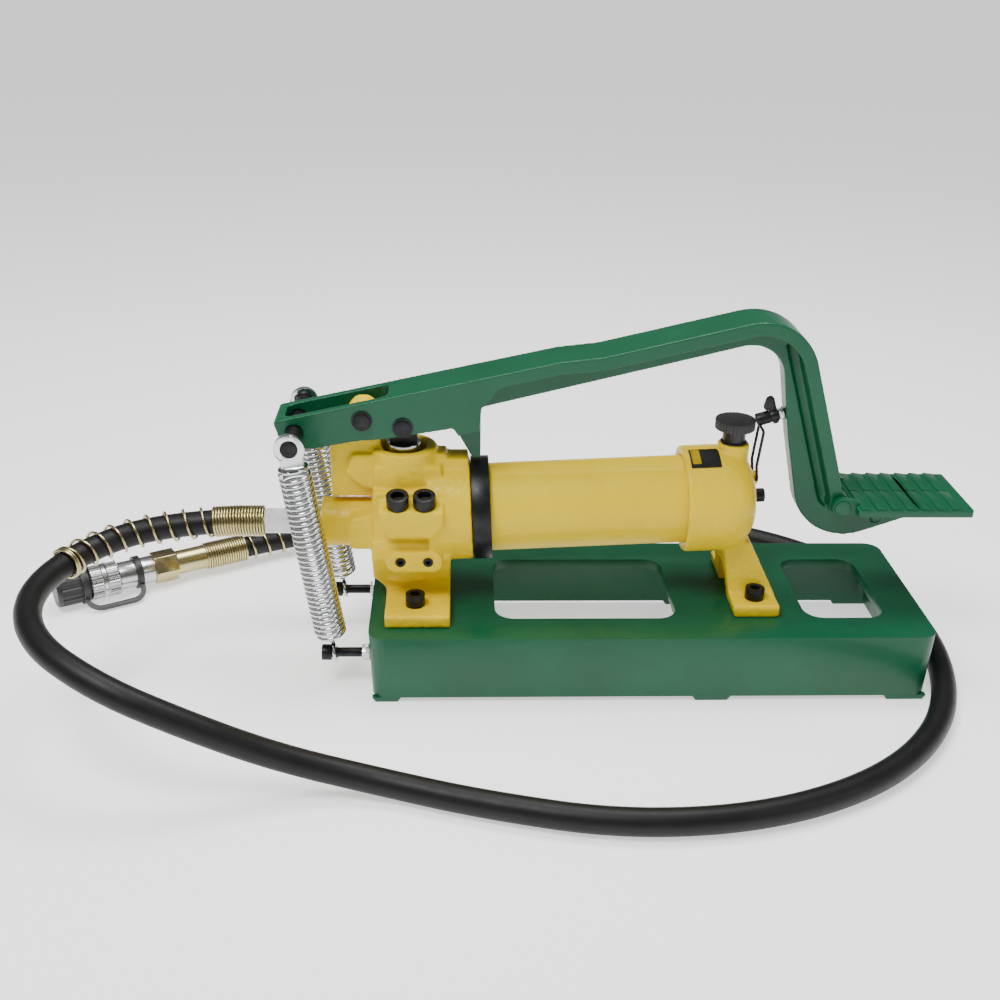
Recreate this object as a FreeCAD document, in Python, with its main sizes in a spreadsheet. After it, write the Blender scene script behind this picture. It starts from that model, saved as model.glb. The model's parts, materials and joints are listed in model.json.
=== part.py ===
"""Foot-operated hydraulic pump with its hose and quick coupler, in millimetres.

Frame: +X runs along the base towards the pedal, +Y to the rear, +Z up.
The origin is on the floor, at the bottom centre of the pump without its hose.
"""
import FreeCAD
import Part
import Sketcher

import math
import os
import re

from FreeCAD import Placement, Rotation, Vector

X_AXIS = Vector(1, 0, 0)
Y_AXIS = Vector(0, 1, 0)
Z_AXIS = Vector(0, 0, 1)
ORIGIN = Vector(0, 0, 0)

# Driving dimensions: alias -> value in millimetres or degrees
SIZES = {
    # base tray
    "base_center": 22.2,
    "base_length": 462,
    "base_width": 170,
    "deck_height": 60.4,
    "foot_height": 4,
    "base_wall": 8,
    "base_corner": 14,
    "window_width": 105,
    "window_corner": 16,
    # joint fits
    "thread_gap": 0.15,
    "move_gap": 0.4,
    "pin_radius": 6.5,
    "pin_gap": 0.06,
    # foot lever
    "lever_width": 42,
    "lever_web": 18,
    "lever_slot": 16.6,
    "fulcrum_place": -212.5,
    "fulcrum_height": 221.5,
    "plunger_place": -180.5,
    "plunger_pin_height": 215.8,
    "spring_pin_place": -266,
    "spring_pin_height": 211,
    "spring_pin_reach": 57.5,
    # pedal
    "pedal_pin_place": 177.5,
    "pedal_pin_height": 149,
    "pedal_width": 76,
    "pedal_top": 153,
    "pedal_bottom": 145.3,
    "pedal_left": 188,
    "pedal_right": 283,
    # reservoir and its ends
    "tank_tilt": 2.7,
    "tank_place": -102,
    "tank_height": 138,
    "tube_radius": 36.5,
    "tube_wall": 4,
    "tube_length": 178,
    "ring_radius": 43,
    "barrel_radius": 42.5,
    "cap_radius": 44.3,
    # pump body
    "boss_radius": 27,
    "boss_top": 193.5,
    "gland_radius": 18.2,
    "plunger_radius": 11,
    "outlet_height": 124.5,
    "outlet_radius": 20.5,
    "plug_tilt": 14,
    # springs
    "spring_side": 54,
    "spring_radius": 11.5,
    "spring_wire": 3,
    "anchor_height": 30,
    # hose
    "hose_diameter": 20.5,
    "guard_inner": 10.9,
    "guard_outer": 13.2,
}

DOC = FreeCAD.newDocument("foot_pump")


def make_sheet():
    """Put every driving dimension in a spreadsheet cell with its own alias."""
    sheet = DOC.addObject("Spreadsheet::Sheet", "sizes")
    for row, (alias, value) in enumerate(SIZES.items(), start=1):
        sheet.set("A%d" % row, alias.replace("_", " "))
        sheet.set("B%d" % row, str(value))
        sheet.setAlias("B%d" % row, alias)
    DOC.recompute()
    return sheet


SHEET = make_sheet()


def size(alias):
    """Value of a driving dimension, read from the sheet."""
    return float(SHEET.get(alias))


def bind(feature, prop, formula):
    """Bind a property to a formula written with the sheet's aliases."""
    feature.setExpression(prop, re.sub(r"[a-z]\w*", lambda word: "sizes." + word.group(0), str(formula)))


def lay(feature, base, direction=Z_AXIS):
    """Place a feature with its own Z axis along a direction."""
    feature.Placement = Placement(base, Rotation(Z_AXIS, direction))
    return feature


def cylinder(name, radius, length, base, direction=Z_AXIS):
    rod = DOC.addObject("Part::Cylinder", name)
    bind(rod, "Radius", radius)
    bind(rod, "Height", length)
    return lay(rod, base, direction)


def cone(name, radius_low, radius_high, length, base, direction=Z_AXIS):
    taper = DOC.addObject("Part::Cone", name)
    bind(taper, "Radius1", radius_low)
    bind(taper, "Radius2", radius_high)
    bind(taper, "Height", length)
    return lay(taper, base, direction)


def torus(name, ring_radius, section_radius, base, direction=Z_AXIS):
    ring = DOC.addObject("Part::Torus", name)
    bind(ring, "Radius1", ring_radius)
    bind(ring, "Radius2", section_radius)
    return lay(ring, base, direction)


def ball(name, radius, base):
    sphere = DOC.addObject("Part::Sphere", name)
    bind(sphere, "Radius", radius)
    return lay(sphere, base)


def hexagon(name, across_flats, length, base, direction=Z_AXIS):
    prism = DOC.addObject("Part::Prism", name)
    prism.Polygon = 6
    bind(prism, "Circumradius", "(%s) / 3 ^ 0.5" % across_flats)
    bind(prism, "Height", length)
    return lay(prism, base, direction)


def block(name, low, high):
    """Box between two opposite corners."""
    box = DOC.addObject("Part::Box", name)
    bind(box, "Length", high[0] - low[0])
    bind(box, "Width", high[1] - low[1])
    bind(box, "Height", high[2] - low[2])
    return lay(box, Vector(*low))


def fuse(name, shapes):
    whole = DOC.addObject("Part::MultiFuse", name)
    whole.Shapes = shapes
    whole.Refine = True
    return whole


def cut(name, base, tools):
    """Base minus every tool."""
    result = DOC.addObject("Part::Cut", name)
    result.Base = base
    result.Tool = tools[0] if len(tools) == 1 else fuse(name + "_tools", tools)
    result.Refine = True
    return result


def group(name, shapes):
    """Identical pieces as separate solids in one node."""
    pieces = DOC.addObject("Part::Compound", name)
    pieces.Links = shapes
    return pieces


def body(name):
    return DOC.addObject("PartDesign::Body", name)


def sketch(owner, name, role, offset=0.0):
    """Sketch on one of the body's own origin planes, moved along the plane's normal."""
    plane = [item for item in owner.Origin.OriginFeatures if item.Role == role][0]
    outline = owner.newObject("Sketcher::SketchObject", name)
    outline.AttachmentSupport = (plane, [""])
    outline.MapMode = "FlatFace"
    outline.AttachmentOffset = Placement(Vector(0, 0, offset), Rotation())
    return outline


def rounded_edges(corners):
    """Closed outline through (x, y, radius) corners, its round corners as tangent arcs."""
    count = len(corners)
    joints = []
    for index, (x, y, radius) in enumerate(corners):
        here = Vector(x, y, 0)
        before = Vector(*corners[index - 1][:2], 0) - here
        after = Vector(*corners[(index + 1) % count][:2], 0) - here
        before.normalize()
        after.normalize()
        if radius == 0:
            joints.append((here, here, here))
            continue
        half = before.getAngle(after) / 2
        reach = radius / math.tan(half)
        middle = (before + after).normalize() * (radius / math.sin(half) - radius)
        joints.append((here + before * reach, here + middle, here + after * reach))
    edges = []
    for index, (start, middle, end) in enumerate(joints):
        if (end - start).Length > 1e-6:
            edges.append(Part.Arc(start, middle, end))
        following = joints[(index + 1) % count][0]
        edges.append(Part.LineSegment(end, following))
    return edges


def outline_sketch(owner, name, role, corners, offset=0.0):
    outline = sketch(owner, name, role, offset)
    outline.addGeometry(rounded_edges(corners))
    return outline


def circle_sketch(owner, name, role, circles, offset=0.0):
    """Sketch of circles given as (x, y, radius formula), each radius bound to the sheet."""
    outline = sketch(owner, name, role, offset)
    for x, y, radius in circles:
        index = outline.addGeometry(Part.Circle(Vector(x, y, 0), Z_AXIS, 1.0))
        number = outline.addConstraint(Sketcher.Constraint("Radius", index, 1.0))
        bind(outline, "Constraints[%d]" % number, radius)
    return outline


def pad(owner, outline, length, symmetric=False, downward=False):
    feature = owner.newObject("PartDesign::Pad", outline.Name + "_pad")
    feature.Profile = outline
    bind(feature, "Length", length)
    feature.SideType = "Symmetric" if symmetric else "One side"
    feature.Reversed = downward
    feature.Refine = True
    owner.Tip = feature
    return feature


def pocket(owner, outline, length=None, symmetric=False, upward=False):
    """Pocket of a bound depth, or right through when no depth is given."""
    feature = owner.newObject("PartDesign::Pocket", outline.Name + "_pocket")
    feature.Profile = outline
    if length is None:
        feature.Type = "ThroughAll"
    else:
        bind(feature, "Length", length)
    feature.SideType = "Symmetric" if symmetric else "One side"
    feature.Reversed = upward
    feature.Refine = True
    owner.Tip = feature
    return feature


def plate(name, role, corners, thickness, offset=0.0, symmetric=False):
    """Body made of one padded outline."""
    slab = body(name)
    pad(slab, outline_sketch(slab, name + "_outline", role, corners, offset), thickness, symmetric)
    return slab


def rectangle(low_x, high_x, low_y, high_y, radius=0.0):
    return [
        (low_x, low_y, radius),
        (high_x, low_y, radius),
        (high_x, high_y, radius),
        (low_x, high_y, radius),
    ]


def mirrored(corners):
    """Outline made of its right half and that half mirrored in the vertical axis."""
    return corners + [(-x, y, radius) for x, y, radius in reversed(corners)]


# ---------------------------------------------------------------- shared places

TILT = math.radians(size("tank_tilt"))
TANK_AXIS = Vector(math.cos(TILT), 0, math.sin(TILT))
PLUG_TILT = math.radians(size("plug_tilt"))
PLUG_AXIS = Vector(0, -math.sin(PLUG_TILT), math.cos(PLUG_TILT))
LEFT = size("base_center") - size("base_length") / 2
RIGHT = size("base_center") + size("base_length") / 2
DECK = size("deck_height")
FULCRUM = Vector(size("fulcrum_place"), 0, size("fulcrum_height"))
PLUNGER_PIN = Vector(size("plunger_place"), 0, size("plunger_pin_height"))
SPRING_PIN = Vector(size("spring_pin_place"), 0, size("spring_pin_height"))
PEDAL_PIN = Vector(size("pedal_pin_place"), 0, size("pedal_pin_height"))
BODY_BOLTS = [Vector(-171.5, side * 47, DECK) for side in (-1, 1)]
CAP_BOLTS = [Vector(110.5, side * 37, DECK) for side in (-1, 1)]
FLANGE = 10.5
VALVE_SEATS = [Vector(x, -41, 157) for x in (-184.6, -163.4)]
RELIEF_SCREWS = [Vector(x, -42, 106.4) for x in (-183.3, -160.8)]
VENT = Vector(88.9, 0, 196)
ANCHORS = [Vector(-248.5, side * size("spring_side"), size("anchor_height")) for side in (-1, 1)]
HOOK_PLACE = -237.9
COIL_TURNS = 33
CAP_START = 49
CAP_LENGTH = 59.5


def on_tank(x):
    """Point of the reservoir's axis at a station along X."""
    rise = (x - size("tank_place")) * math.tan(TILT)
    return Vector(x, 0, size("tank_height") + rise)


def side_base(point, y):
    return Vector(point.x, y, point.z)


def cross_rod(name, radius, point, half_length):
    """Round bar along Y, centred on the pump's middle plane."""
    return cylinder(name, radius, 2 * half_length, side_base(point, -half_length), Y_AXIS)


def socket_screw(name, seat, axis, thread, head, head_height, length, socket):
    """Socket head cap screw, its head standing on the seat and its thread going the other way."""
    shank = cylinder(name + "_shank", thread, length, seat, axis * -1)
    cap = cylinder(name + "_head", head, head_height, seat, axis)
    key = hexagon(name + "_key", socket, head_height, seat + axis * (head_height * 0.45), axis)
    return cut(name, fuse(name + "_blank", [shank, cap]), [key])


# ---------------------------------------------------------------- base

def base_tray():
    tray = body("base_tray")
    half = size("base_width") / 2
    corner = size("base_corner")
    deck = outline_sketch(tray, "deck", "XY_Plane", rectangle(LEFT, RIGHT, -half, half, corner), DECK)
    shell = pad(tray, deck, "deck_height - foot_height", downward=True)
    shell.TaperAngle = -2.3
    wall = size("base_wall")
    inside = rectangle(LEFT + wall, RIGHT - wall, wall - half, half - wall, corner - wall)
    pocket(tray, outline_sketch(tray, "hollow", "XY_Plane", inside, DECK - wall))
    window = size("window_width") / 2
    for name, low, high in (("long_window", -105.8, 44.8), ("short_window", 152.2, 219.5)):
        opening = rectangle(low, high, -window, window, size("window_corner"))
        pocket(tray, outline_sketch(tray, name, "XY_Plane", opening, DECK))
    foot = size("foot_height")
    stations = (("left", LEFT + 2.4, LEFT + 26), ("middle", 56, 88), ("right", RIGHT - 38, RIGHT - 2.4))
    for side_name, side in (("front", 1), ("rear", -1)):
        for name, low, high in stations:
            corners = [(low + 3, 0, 0), (high - 3, 0, 0), (high, foot, 0), (low, foot, 0)]
            runner = outline_sketch(tray, side_name + name + "_foot", "XZ_Plane", corners, side * (half - 5.1))
            pad(tray, runner, 5.2, symmetric=True)
    bolt_holes = [(bolt.x, bolt.y, "5 + thread_gap") for bolt in BODY_BOLTS + CAP_BOLTS]
    pocket(tray, circle_sketch(tray, "deck_holes", "XY_Plane", bolt_holes, DECK), "base_wall + 2")
    anchor_holes = [(anchor.y, anchor.z, "4 + thread_gap") for anchor in ANCHORS]
    pocket(tray, circle_sketch(tray, "anchor_holes", "YZ_Plane", anchor_holes, LEFT + 2 * wall))
    return tray


def anchor_bolts():
    """Two cap screws in the tray's end wall, which hold the springs' lower hooks."""
    bolts = []
    for index, anchor in enumerate(ANCHORS):
        seat = anchor + X_AXIS * 8
        bolts.append(socket_screw("anchor_bolt%d" % index, seat, X_AXIS * -1, 4, 6.6, 8, 47, 6))
    return group("anchor_bolts", bolts)


def anchor_nuts():
    nuts = []
    for index, anchor in enumerate(ANCHORS):
        base = Vector(LEFT - 6.6, anchor.y, anchor.z)
        blank = hexagon("anchor_nut%d_blank" % index, 13, 6.5, base, X_AXIS)
        hole = cylinder("anchor_nut%d_hole" % index, "4 + thread_gap", 8, base - X_AXIS, X_AXIS)
        nuts.append(cut("anchor_nut%d" % index, blank, [hole]))
    return group("anchor_nuts", nuts)


# ---------------------------------------------------------------- pump body

def pump_pedestal():
    """Foot of the casting: a waist over two long bolt flanges."""
    half = mirrored([
        (68, DECK, 0),
        (68, DECK + FLANGE, 2),
        (17, DECK + FLANGE, 5),
        (24, 86, 0),
        (36, 106, 0),
        (36, 122, 0),
    ])
    across = plate("pedestal_across", "YZ_Plane", half, 66, -208)
    along = [
        (-196, DECK, 0),
        (-143, DECK, 0),
        (-143, 122, 0),
        (-207, 122, 0),
        (-207, 82, 0),
        (-196, DECK + FLANGE, 0),
    ]
    side = plate("pedestal_side", "XZ_Plane", along, 140, symmetric=True)
    both = DOC.addObject("Part::Common", "pedestal")
    both.Base = across
    both.Tool = side
    return both


def valve_block():
    """Shelf that leans forward, narrower below, with the two valve plugs on its top."""
    front = [(9, 0, 3), (43, 0, 3), (52, 13, 3), (52, 27, 0), (0, 27, 0), (0, 13, 3)]
    shelf = plate("valve_shelf", "XZ_Plane", front, 32, -32)
    turn = Rotation(X_AXIS, size("plug_tilt"))
    shelf.Placement = Placement(Vector(-200, -51, 157) + turn.multVec(Vector(0, 0, -29)), turn)
    return shelf


def fulcrum_lug():
    """Upright plate that carries the lever's fulcrum pin."""
    corners = [
        (-240, 150, 0),
        (-199, 150, 0),
        (-199, 222, 0),
        (-226, 222, 6),
        (-240, 194, 6),
    ]
    web = plate("lug_web", "XZ_Plane", corners, 15.4, symmetric=True)
    eye = cross_rod("lug_eye", 12.5, FULCRUM, 7.7)
    return fuse("fulcrum_lug", [web, eye])


def pump_body():
    place = size("plunger_place")
    top = size("boss_top")
    outlet = Vector(-249, 0, size("outlet_height"))
    rear_valve = Vector(-180, 30, 138)
    pad_outline = rectangle(-195, -149, 97, 116, 9)
    lug_root = [(-199, 158, 0), (-199, 189, 0), (-222, 189, 4), (-228, 173, 4), (-214, 160, 4)]
    port_block = [(-203, 112, 0), (-203, 144, 0), (-225, 138, 4), (-225, 112, 4)]
    solids = [
        cylinder("barrel", "barrel_radius", 36, on_tank(-161), TANK_AXIS),
        cylinder("boss", "boss_radius", top - 80, Vector(place, 0, 80)),
        block("core", (-205, -33, 104), (-149, 33, 164)),
        block("neck", (-205, -22, 104), (-150, 22, 182)),
        plate("lug_root", "XZ_Plane", lug_root, 26, symmetric=True),
        plate("port_block", "XZ_Plane", port_block, 29, 0),
        block("top_web", (-165, -12, 172), (-128, 12, 185)),
        block("top_step", (-165, -10, 172), (-146, 10, 189)),
        cylinder("outlet_boss", "outlet_radius", 52, outlet, X_AXIS),
        cylinder("release_boss", 11, 16, rear_valve, Y_AXIS),
        plate("relief_pad", "XZ_Plane", pad_outline, 22, 20),
        valve_block(),
        fulcrum_lug(),
        pump_pedestal(),
    ]
    gland = "gland_radius + thread_gap"
    bores = [
        cylinder("plunger_bore", "plunger_radius + pin_gap", 90, Vector(place, 0, 112)),
        cylinder("seal_bore", 15, 30, Vector(place, 0, 168)),
        cylinder("gland_bore", gland, 30, Vector(place, 0, 174)),
        cylinder("outlet_bore", 4.5, 70, outlet - X_AXIS, X_AXIS),
        cylinder("outlet_thread", "10 + thread_gap", 21, outlet - X_AXIS, X_AXIS),
        cylinder("tube_socket", "tube_radius + thread_gap", 17, on_tank(-140), TANK_AXIS),
        cylinder("tank_recess", 28, 12, on_tank(-150), TANK_AXIS),
        cylinder("tie_hole", "4 + thread_gap", 16, on_tank(-164), TANK_AXIS),
        cylinder("suction_hole", "4 + thread_gap", 8, on_tank(-156) - Z_AXIS * 22, TANK_AXIS),
        cylinder("release_hole", "4 + thread_gap", 27, rear_valve - Y_AXIS * 10, Y_AXIS),
        cross_rod("fulcrum_hole", "pin_radius + pin_gap", FULCRUM, 12),
    ]
    for index, seat in enumerate(VALVE_SEATS):
        down = PLUG_AXIS * -1
        bores.append(cylinder("plug_hole%d" % index, "6 + thread_gap", 18, seat + PLUG_AXIS, down))
        bores.append(cylinder("valve_hole%d" % index, 4.4, 33, seat + PLUG_AXIS, down))
        bores.append(cylinder("plug_spot_face%d" % index, 9.6, 16, seat, PLUG_AXIS))
    for index, screw in enumerate(RELIEF_SCREWS):
        bores.append(cylinder("relief_hole%d" % index, "4 + thread_gap", 16, screw - Y_AXIS, Y_AXIS))
    for index, bolt in enumerate(BODY_BOLTS):
        bores.append(cylinder("body_bolt_hole%d" % index, 5.5, 20, bolt - Z_AXIS))
    return cut("pump_body", fuse("body_casting", solids), bores)


def body_foot_bolts():
    bolts = []
    for index, bolt in enumerate(BODY_BOLTS):
        seat = bolt + Z_AXIS * FLANGE
        bolts.append(socket_screw("body_foot_bolt%d" % index, seat, Z_AXIS, 5, 8, 10, 24, 8))
    return group("body_foot_bolts", bolts)


def valve_plugs():
    plugs = []
    for index, seat in enumerate(VALVE_SEATS):
        plugs.append(socket_screw("valve_plug%d" % index, seat, PLUG_AXIS, 6, 9, 11, 15, 10))
    return group("valve_plugs", plugs)


def valve_balls():
    balls = []
    for index, seat in enumerate(VALVE_SEATS):
        balls.append(ball("valve_ball%d" % index, 4, seat - PLUG_AXIS * 27.8))
    return group("valve_balls", balls)


def valve_springs():
    """Sleeves that fill the room of the two small coil springs over the valve balls."""
    springs = []
    for index, seat in enumerate(VALVE_SEATS):
        springs.append(ringed("valve_spring%d" % index, 3.7, 2.9, 7, seat - PLUG_AXIS * 23, PLUG_AXIS))
    return group("valve_springs", springs)


def relief_screws():
    screws = []
    for index, place in enumerate(RELIEF_SCREWS):
        start = place + Y_AXIS * 0.8
        rod = cylinder("relief_screw%d_rod" % index, 4, 9, start, Y_AXIS)
        key = hexagon("relief_screw%d_key" % index, 4, 4.8, start - Y_AXIS * 0.8, Y_AXIS)
        screws.append(cut("relief_screw%d" % index, rod, [key]))
    return group("relief_screws", screws)


def plunger_gland():
    """Threaded ring that guides the plunger and holds its seal down."""
    place = size("plunger_place")
    ring = cylinder("gland_ring", "gland_radius", 10, Vector(place, 0, 174.2))
    hole = cylinder("gland_hole", "plunger_radius + pin_gap", 12, Vector(place, 0, 173))
    recess = cylinder("gland_recess", 14.5, 3, Vector(place, 0, 182.2))
    return cut("plunger_gland", ring, [hole, recess])


def plunger_seal():
    place = size("plunger_place")
    ring = cylinder("seal_ring", 14.8, 5.6, Vector(place, 0, 168.2))
    hole = cylinder("seal_hole", "plunger_radius + pin_gap", 8, Vector(place, 0, 167))
    return cut("plunger_seal", ring, [hole])


def release_stem():
    stem = cylinder("stem_rod", 4, 30, Vector(-180, 23, 138), Y_AXIS)
    tip = cone("stem_tip", 1, 4, 2.5, Vector(-180, 20.5, 138), Y_AXIS)
    return fuse("release_stem", [stem, tip])


def knurled_knob(name, radius, height, hub, hub_height, shaft, shaft_length, base, axis, grooves):
    """Knob turned from one piece, its rim cut by a ring of grooves, lying on its hub."""
    knob = body(name)
    pad(knob, circle_sketch(knob, name + "_hub", "XY_Plane", [(0, 0, hub)]), hub_height)
    pad(knob, circle_sketch(knob, name + "_disc", "XY_Plane", [(0, 0, radius)], hub_height), height)
    if shaft_length > 0:
        shaft_sketch = circle_sketch(knob, name + "_shaft", "XY_Plane", [(0, 0, shaft)])
        pad(knob, shaft_sketch, shaft_length, downward=True)
    else:
        pocket(knob, circle_sketch(knob, name + "_bore", "XY_Plane", [(0, 0, shaft)]), 8, upward=True)
    notch = circle_sketch(knob, name + "_notch", "XY_Plane", [(radius + 0.5, 0, 1.1)], hub_height + height)
    groove = pocket(knob, notch, height)
    pattern = knob.newObject("PartDesign::PolarPattern", name + "_knurl")
    pattern.Originals = [groove]
    pattern.Axis = (notch, ["N_Axis"])
    pattern.Angle = 360
    pattern.Occurrences = grooves
    knob.Tip = pattern
    return lay(knob, base, axis)


def release_knob():
    base = Vector(-180, 46.4, 138)
    return knurled_knob("release_knob", 13, 9, 8, 5, 4 + 0.15, 0, base, Y_AXIS, 24)


# ---------------------------------------------------------------- reservoir

def reservoir_tube():
    start = on_tank(-136.5)
    outside = cylinder("tube_outside", "tube_radius", 193, start, TANK_AXIS)
    inside = cylinder("tube_inside", "tube_radius - tube_wall", 200, start - TANK_AXIS * 3, TANK_AXIS)
    return cut("reservoir_tube", outside, [inside])


def reservoir_ring():
    start = on_tank(-124.7)
    ring = cylinder("ring_outside", "ring_radius", 15, start, TANK_AXIS)
    hole = cylinder("ring_hole", "tube_radius + thread_gap", 18, start - TANK_AXIS, TANK_AXIS)
    return cut("reservoir_ring", ring, [hole])


def cap_feet():
    """Arch of two splayed legs with a bolt flange at each foot."""
    outer = [
        (52, DECK, 0),
        (52, DECK + FLANGE, 3),
        (29, DECK + FLANGE, 9),
        (23, 116, 0),
    ]
    inner = [
        (15, DECK, 0),
        (15, 88, 12),
    ]
    profile = outer + [(-x, y, r) for x, y, r in reversed(outer)]
    profile += [(-x, y, r) for x, y, r in inner] + list(reversed(inner))
    across = plate("cap_arch", "YZ_Plane", profile, 56, 82)
    along = [
        (92, DECK, 0),
        (130, DECK, 2),
        (129, DECK + FLANGE, 4),
        (103, 122, 0),
        (82, 122, 0),
        (87, 92, 0),
    ]
    side = plate("cap_leg_side", "XZ_Plane", along, 120, symmetric=True)
    both = DOC.addObject("Part::Common", "cap_legs")
    both.Base = across
    both.Tool = side
    return both


def rear_cap():
    start = on_tank(CAP_START)
    shell = body("cap_shell")
    radius = size("cap_radius")
    dome = [(0, 0, 0), (radius, 0, 1.5), (radius, CAP_LENGTH, 28), (0, CAP_LENGTH, 0)]
    profile = outline_sketch(shell, "cap_profile", "XZ_Plane", dome)
    turned = shell.newObject("PartDesign::Revolution", "cap_turned")
    turned.Profile = profile
    turned.ReferenceAxis = (profile, ["V_Axis"])
    turned.Angle = 360
    shell.Tip = turned
    lay(shell, start, TANK_AXIS)
    solids = [
        shell,
        cylinder("vent_boss", 13, 44, VENT - Z_AXIS * 44),
        block("bail_lug", (98, -6, 160.5), (112, 6, 169)),
        cap_feet(),
    ]
    bores = [
        cylinder("cap_socket", "tube_radius + thread_gap", 14, start - TANK_AXIS, TANK_AXIS),
        cylinder("cap_recess", 30, 34, start + TANK_AXIS * 3, TANK_AXIS),
        cylinder("cap_tie_hole", "4 + thread_gap", 80, start, TANK_AXIS),
        cylinder("vent_hole", "8 + thread_gap", 40, VENT - Z_AXIS * 35),
        cross_rod("bail_hole", 1.35, BAIL_PIN, 8),
    ]
    for index, bolt in enumerate(CAP_BOLTS):
        bores.append(cylinder("cap_bolt_hole%d" % index, 5.5, 20, bolt - Z_AXIS))
        bores.append(cylinder("cap_spot_face%d" % index, 8.8, 30, bolt + Z_AXIS * FLANGE))
    return cut("rear_cap", fuse("cap_casting", solids), bores)


def cap_foot_bolts():
    bolts = []
    for index, bolt in enumerate(CAP_BOLTS):
        seat = bolt + Z_AXIS * FLANGE
        bolts.append(socket_screw("cap_foot_bolt%d" % index, seat, Z_AXIS, 5, 8, 10, 24, 8))
    return group("cap_foot_bolts", bolts)


def tank_seal(name, x):
    return torus(name, "tube_radius - 2", 1.6, on_tank(x), TANK_AXIS)


def tie_bolt():
    """Long cap screw that clamps the reservoir between the pump body and the rear cap."""
    seat = on_tank(CAP_START) + TANK_AXIS * (CAP_LENGTH + 1.5)
    return socket_screw("tie_bolt", seat, TANK_AXIS, 4, 5.8, 9, 270, 6)


def tie_seal():
    base = on_tank(CAP_START) + TANK_AXIS * CAP_LENGTH
    washer = cylinder("tie_washer", 7.5, 1.5, base, TANK_AXIS)
    hole = cylinder("tie_washer_hole", "4 + thread_gap", 3, base - TANK_AXIS, TANK_AXIS)
    return cut("tie_seal", washer, [hole])


def vent_cap():
    return knurled_knob("vent_cap", 16.3, 7.8, 9.3, 11, 8, 12, VENT + Z_AXIS * 1.4, Z_AXIS, 36)


def vent_seal():
    washer = cylinder("vent_washer", 10.6, 1.4, VENT)
    hole = cylinder("vent_washer_hole", "8 + thread_gap", 3, VENT - Z_AXIS)
    return cut("vent_seal", washer, [hole])


def suction_pipe():
    base = on_tank(-155.5) - Z_AXIS * 22
    outside = cylinder("pipe_outside", 4, 96, base, TANK_AXIS)
    inside = cylinder("pipe_inside", 2.8, 100, base - TANK_AXIS, TANK_AXIS)
    return cut("suction_pipe", outside, [inside])


def suction_filter():
    base = on_tank(-155.5) - Z_AXIS * 22 + TANK_AXIS * 80
    outside = cylinder("filter_outside", 9, 30, base, TANK_AXIS)
    hole = cylinder("filter_hole", "4 + thread_gap", 18, base - TANK_AXIS, TANK_AXIS)
    return cut("suction_filter", outside, [hole])


# ---------------------------------------------------------------- plunger and pins

def plunger():
    """Ground rod with a wide collar on its top."""
    place = size("plunger_place")
    rod = cylinder("plunger_rod", "plunger_radius", 60, Vector(place, 0, 128))
    collar = cylinder("plunger_collar", 14, 10.5, Vector(place, 0, 186))
    return fuse("plunger", [rod, collar])


def plunger_head():
    """Flat eye on the plunger; its slot takes the pin's small sideways travel."""
    place = size("plunger_place")
    pin = PLUNGER_PIN
    travel = X_AXIS * 1.6
    slot = "pin_radius + move_gap"
    shank = block("head_shank", (place - 11, -7.5, 196.5), (place + 11, 7.5, pin.z))
    eye = cross_rod("head_eye", 11, pin, 7.5)
    reach = size("pin_radius") + size("move_gap")
    tools = [
        cross_rod("head_slot_left", slot, pin - travel, 12),
        cross_rod("head_slot_right", slot, pin + travel, 12),
        block("head_slot", (pin.x - 1.6, -12, pin.z - reach), (pin.x + 1.6, 12, pin.z + reach)),
    ]
    return cut("plunger_head", fuse("head_blank", [shank, eye]), tools)


def pin_clips(name, point):
    """Retaining ring at each end of a lever pin."""
    rings = []
    for side in (-1, 1):
        start = side_base(point, side * 21.9 - 0.6)
        ring = cylinder("%s_ring%d" % (name, side + 1), 8, 1.2, start, Y_AXIS)
        hole = cylinder("%s_hole%d" % (name, side + 1), "pin_radius + 0.05", 4, start - Y_AXIS, Y_AXIS)
        rings.append(cut("%s_clip%d" % (name, side + 1), ring, [hole]))
    return group(name, rings)


# ---------------------------------------------------------------- lever

OUTER_CORNER = (131.9, 312.2, 47.6)
FLANGE_CORNER = (124.4, 299.0, 36.6)
INNER_CORNER = (117.3, 287.4, 28)


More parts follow.
